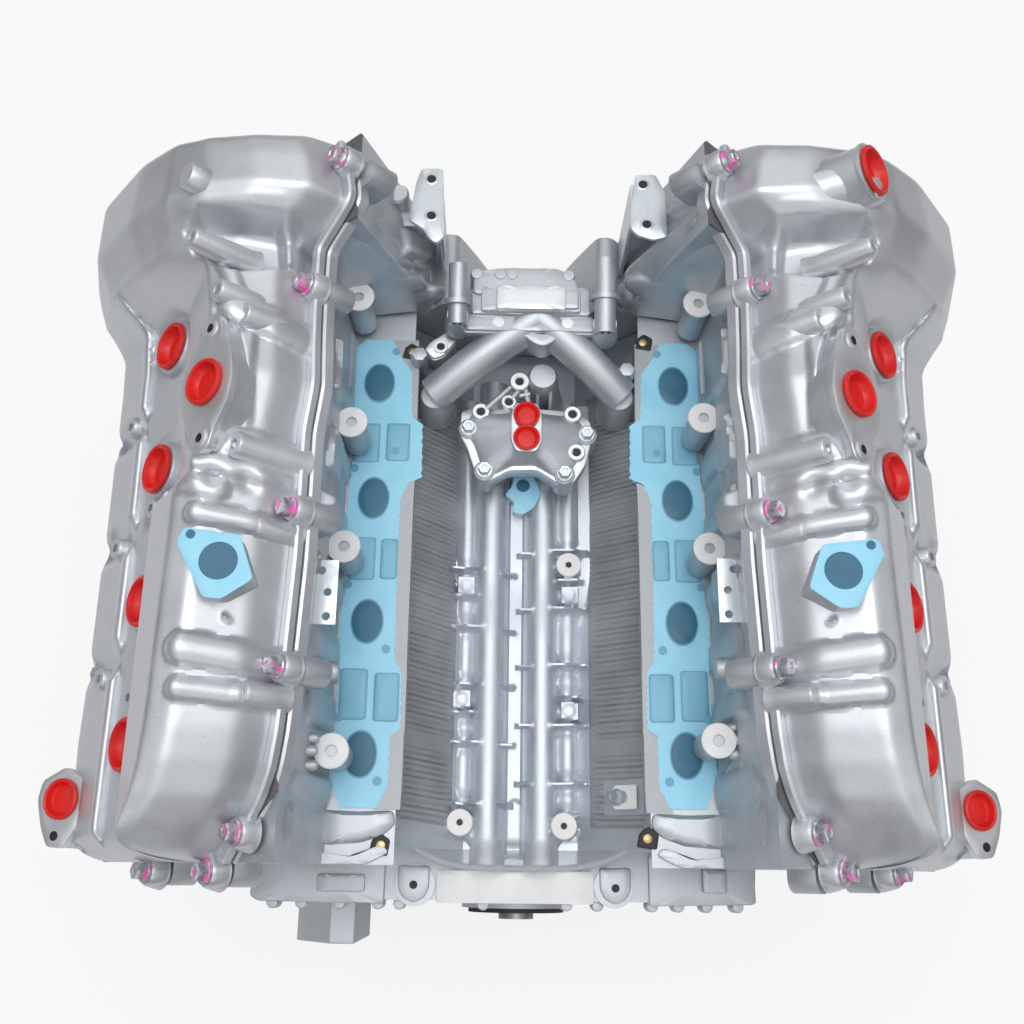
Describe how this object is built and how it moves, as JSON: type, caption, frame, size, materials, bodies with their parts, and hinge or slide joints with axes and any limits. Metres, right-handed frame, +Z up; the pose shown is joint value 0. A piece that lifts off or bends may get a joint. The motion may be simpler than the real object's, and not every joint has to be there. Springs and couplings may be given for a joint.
{
  "type": "V8 engine",
  "caption": "Bare V8 long block with cam covers, open valley, coolant crossover, gaskets and shipping caps.",
  "frame": {"origin": "on the oil pan's flat bottom, straight below the middle of the crankshaft", "axes": "+Y along the crankshaft towards the flywheel and chain end, +Z up towards the valley, +X towards the right bank"},
  "size_m": [0.7586, 0.618, 0.6212],
  "materials": {
    "cast_aluminium": "fine sand-cast, satin",
    "piston_aluminium": "machined",
    "forged_steel": "ground journals",
    "hardened_steel": "oiled",
    "bearing_steel": "plated",
    "gasket_steel": "coated",
    "valve_steel": "ground",
    "plated_steel": "zinc plated",
    "blue_gasket": "matt sheet",
    "black_rubber": "matt",
    "red_plastic": "moulded",
    "white_plastic": "moulded"
  },
  "bodies": {
    "engine_case": {"bedplate": "cast_aluminium", "cam_bearing_caps": "cast_aluminium", "cam_cover_gaskets": "black_rubber", "cam_cover_left": "cast_aluminium", "cam_cover_right": "cast_aluminium", "cam_timing_chains": "hardened_steel", "coolant_crossover": "cast_aluminium", "cover_bolts": "plated_steel", "cylinder_block": "cast_aluminium", "cylinder_head_left": "cast_aluminium", "cylinder_head_right": "cast_aluminium", "drain_plug": "plated_steel", "exhaust_valves": "valve_steel", "front_cover": "cast_aluminium", "front_crank_seal": "red_plastic", "head_gasket_left": "gasket_steel", "head_gasket_right": "gasket_steel", "intake_port_gaskets": "blue_gasket", "intake_valves": "valve_steel", "lifting_brackets": "plated_steel", "main_bearing_shells": "bearing_steel", "oil_cooler_cover": "cast_aluminium", "oil_filter_housing": "cast_aluminium", "oil_pan": "cast_aluminium", "port_shipping_caps": "red_plastic", "primary_timing_chain": "hardened_steel", "pump_seat_gaskets": "blue_gasket", "rear_timing_case": "cast_aluminium", "spark_plug_well_caps": "red_plastic", "stand_off_washers": "white_plastic", "valley_gasket": "blue_gasket", "wiring_brackets": "plated_steel"},
    "rod_left_1_body": {"connecting_rod_left_1": "forged_steel"},
    "rod_left_2_body": {"connecting_rod_left_2": "forged_steel"},
    "rod_left_3_body": {"connecting_rod_left_3": "forged_steel"},
    "rod_left_4_body": {"connecting_rod_left_4": "forged_steel"},
    "rod_right_1_body": {"connecting_rod_right_1": "forged_steel"},
    "rod_right_2_body": {"connecting_rod_right_2": "forged_steel"},
    "rod_right_3_body": {"connecting_rod_right_3": "forged_steel"},
    "rod_right_4_body": {"connecting_rod_right_4": "forged_steel"},
    "crank_assembly": {"crank_sprocket": "hardened_steel", "crankshaft": "forged_steel"},
    "exhaust_cam_left_body": {"exhaust_cam_sprocket_left": "hardened_steel", "exhaust_camshaft_left": "forged_steel"},
    "exhaust_cam_right_body": {"exhaust_cam_sprocket_right": "hardened_steel", "exhaust_camshaft_right": "forged_steel"},
    "intake_cam_left_body": {"intake_cam_sprocket_left": "hardened_steel", "intake_camshaft_left": "forged_steel"},
    "intake_cam_right_body": {"intake_cam_sprocket_right": "hardened_steel", "intake_camshaft_right": "forged_steel"},
    "intermediate_drive_left_body": {"intermediate_sprocket_left": "hardened_steel"},
    "intermediate_drive_right_body": {"intermediate_sprocket_right": "hardened_steel"},
    "piston_left_1_body": {"piston_left_1": "piston_aluminium"},
    "piston_left_2_body": {"piston_left_2": "piston_aluminium"},
    "piston_left_3_body": {"piston_left_3": "piston_aluminium"},
    "piston_left_4_body": {"piston_left_4": "piston_aluminium"},
    "piston_right_1_body": {"piston_right_1": "piston_aluminium"},
    "piston_right_2_body": {"piston_right_2": "piston_aluminium"},
    "piston_right_3_body": {"piston_right_3": "piston_aluminium"},
    "piston_right_4_body": {"piston_right_4": "piston_aluminium"}
  },
  "joints": [
    {"name": "crank_turn", "type": "hinge", "parent": "engine_case", "child": "crank_assembly", "pos_m": [0, 0, 0.218], "axis": [0, 1, 0], "range_deg": [-10, 10]},
    {"name": "rod_left_1_swing", "type": "hinge", "parent": "crank_assembly", "child": "rod_left_1_body", "pos_m": [0, 0.1458, 0.2645], "axis": [0, 1, 0], "range_deg": [-12.92, 12.92]},
    {"name": "piston_left_1_slide", "type": "slide", "parent": "engine_case", "child": "piston_left_1_body", "axis": [-0.7071, 0, 0.7071], "range_m": [-0.00743, 0.00743]},
    {"name": "rod_left_2_swing", "type": "hinge", "parent": "crank_assembly", "child": "rod_left_2_body", "pos_m": [0.0465, 0.0418, 0.218], "axis": [0, 1, 0], "range_deg": [-8.08, 8.08]},
    {"name": "piston_left_2_slide", "type": "slide", "parent": "engine_case", "child": "piston_left_2_body", "axis": [-0.7071, 0, 0.7071], "range_m": [-0.00465, 0.00465]},
    {"name": "rod_left_3_swing", "type": "hinge", "parent": "crank_assembly", "child": "rod_left_3_body", "pos_m": [-0.0465, -0.0622, 0.218], "axis": [0, 1, 0], "range_deg": [-12.92, 12.92]},
    {"name": "piston_left_3_slide", "type": "slide", "parent": "engine_case", "child": "piston_left_3_body", "axis": [-0.7071, 0, 0.7071], "range_m": [-0.00743, 0.00743]},
    {"name": "rod_left_4_swing", "type": "hinge", "parent": "crank_assembly", "child": "rod_left_4_body", "pos_m": [0, -0.1662, 0.1715], "axis": [0, 1, 0], "range_deg": [-8.08, 8.08]},
    {"name": "piston_left_4_slide", "type": "slide", "parent": "engine_case", "child": "piston_left_4_body", "axis": [-0.7071, 0, 0.7071], "range_m": [-0.00465, 0.00465]},
    {"name": "intake_cam_left_turn", "type": "hinge", "parent": "engine_case", "child": "intake_cam_left_body", "pos_m": [-0.19092, 0, 0.48812], "axis": [0, 1, 0], "range_deg": [-5.5, 5.5]},
    {"name": "exhaust_cam_left_turn", "type": "hinge", "parent": "engine_case", "child": "exhaust_cam_left_body", "pos_m": [-0.27011, 0, 0.40892], "axis": [0, 1, 0], "range_deg": [-5.5, 5.5]},
    {"name": "intermediate_drive_left_turn", "type": "hinge", "parent": "engine_case", "child": "intermediate_drive_left_body", "pos_m": [-0.11667, 0.25, 0.33467], "axis": [0, 1, 0], "range_deg": [-8, 8]},
    {"name": "rod_right_1_swing", "type": "hinge", "parent": "crank_assembly", "child": "rod_right_1_body", "pos_m": [0, 0.1662, 0.2645], "axis": [0, 1, 0], "range_deg": [-12.92, 12.92]},
    {"name": "piston_right_1_slide", "type": "slide", "parent": "engine_case", "child": "piston_right_1_body", "axis": [0.7071, 0, 0.7071], "range_m": [-0.00743, 0.00743]},
    {"name": "rod_right_2_swing", "type": "hinge", "parent": "crank_assembly", "child": "rod_right_2_body", "pos_m": [0.0465, 0.0622, 0.218], "axis": [0, 1, 0], "range_deg": [-12.92, 12.92]},
    {"name": "piston_right_2_slide", "type": "slide", "parent": "engine_case", "child": "piston_right_2_body", "axis": [0.7071, 0, 0.7071], "range_m": [-0.00743, 0.00743]},
    {"name": "rod_right_3_swing", "type": "hinge", "parent": "crank_assembly", "child": "rod_right_3_body", "pos_m": [-0.0465, -0.0418, 0.218], "axis": [0, 1, 0], "range_deg": [-8.08, 8.08]},
    {"name": "piston_right_3_slide", "type": "slide", "parent": "engine_case", "child": "piston_right_3_body", "axis": [0.7071, 0, 0.7071], "range_m": [-0.00465, 0.00465]},
    {"name": "rod_right_4_swing", "type": "hinge", "parent": "crank_assembly", "child": "rod_right_4_body", "pos_m": [0, -0.1458, 0.1715], "axis": [0, 1, 0], "range_deg": [-8.08, 8.08]},
    {"name": "piston_right_4_slide", "type": "slide", "parent": "engine_case", "child": "piston_right_4_body", "axis": [0.7071, 0, 0.7071], "range_m": [-0.00465, 0.00465]},
    {"name": "intake_cam_right_turn", "type": "hinge", "parent": "engine_case", "child": "intake_cam_right_body", "pos_m": [0.19092, 0, 0.48812], "axis": [0, 1, 0], "range_deg": [-5.5, 5.5]},
    {"name": "exhaust_cam_right_turn", "type": "hinge", "parent": "engine_case", "child": "exhaust_cam_right_body", "pos_m": [0.27011, 0, 0.40892], "axis": [0, 1, 0], "range_deg": [-5.5, 5.5]},
    {"name": "intermediate_drive_right_turn", "type": "hinge", "parent": "engine_case", "child": "intermediate_drive_right_body", "pos_m": [0.11667, 0.25, 0.33467], "axis": [0, 1, 0], "range_deg": [-8, 8]}
  ],
  "couplings": [
    {"joint": "rod_left_1_swing", "follows": "crank_turn", "ratio": -1.2416},
    {"joint": "piston_left_1_slide", "follows": "crank_turn", "m_per_rad": -0.040825},
    {"joint": "rod_left_2_swing", "follows": "crank_turn", "ratio": -0.75838},
    {"joint": "piston_left_2_slide", "follows": "crank_turn", "m_per_rad": -0.024936},
    {"joint": "rod_left_3_swing", "follows": "crank_turn", "ratio": -1.2416},
    {"joint": "piston_left_3_slide", "follows": "crank_turn", "m_per_rad": 0.040825},
    {"joint": "rod_left_4_swing", "follows": "crank_turn", "ratio": -0.75838},
    {"joint": "piston_left_4_slide", "follows": "crank_turn", "m_per_rad": 0.024936},
    {"joint": "intake_cam_left_turn", "follows": "crank_turn", "ratio": 0.5},
    {"joint": "exhaust_cam_left_turn", "follows": "crank_turn", "ratio": 0.5},
    {"joint": "intermediate_drive_left_turn", "follows": "crank_turn", "ratio": 0.75},
    {"joint": "rod_right_1_swing", "follows": "crank_turn", "ratio": -1.2416},
    {"joint": "piston_right_1_slide", "follows": "crank_turn", "m_per_rad": 0.040825},
    {"joint": "rod_right_2_swing", "follows": "crank_turn", "ratio": -1.2416},
    {"joint": "piston_right_2_slide", "follows": "crank_turn", "m_per_rad": -0.040825},
    {"joint": "rod_right_3_swing", "follows": "crank_turn", "ratio": -0.75838},
    {"joint": "piston_right_3_slide", "follows": "crank_turn", "m_per_rad": 0.024936},
    {"joint": "rod_right_4_swing", "follows": "crank_turn", "ratio": -0.75838},
    {"joint": "piston_right_4_slide", "follows": "crank_turn", "m_per_rad": -0.024936},
    {"joint": "intake_cam_right_turn", "follows": "crank_turn", "ratio": 0.5},
    {"joint": "exhaust_cam_right_turn", "follows": "crank_turn", "ratio": 0.5},
    {"joint": "intermediate_drive_right_turn", "follows": "crank_turn", "ratio": 0.75}
  ]
}
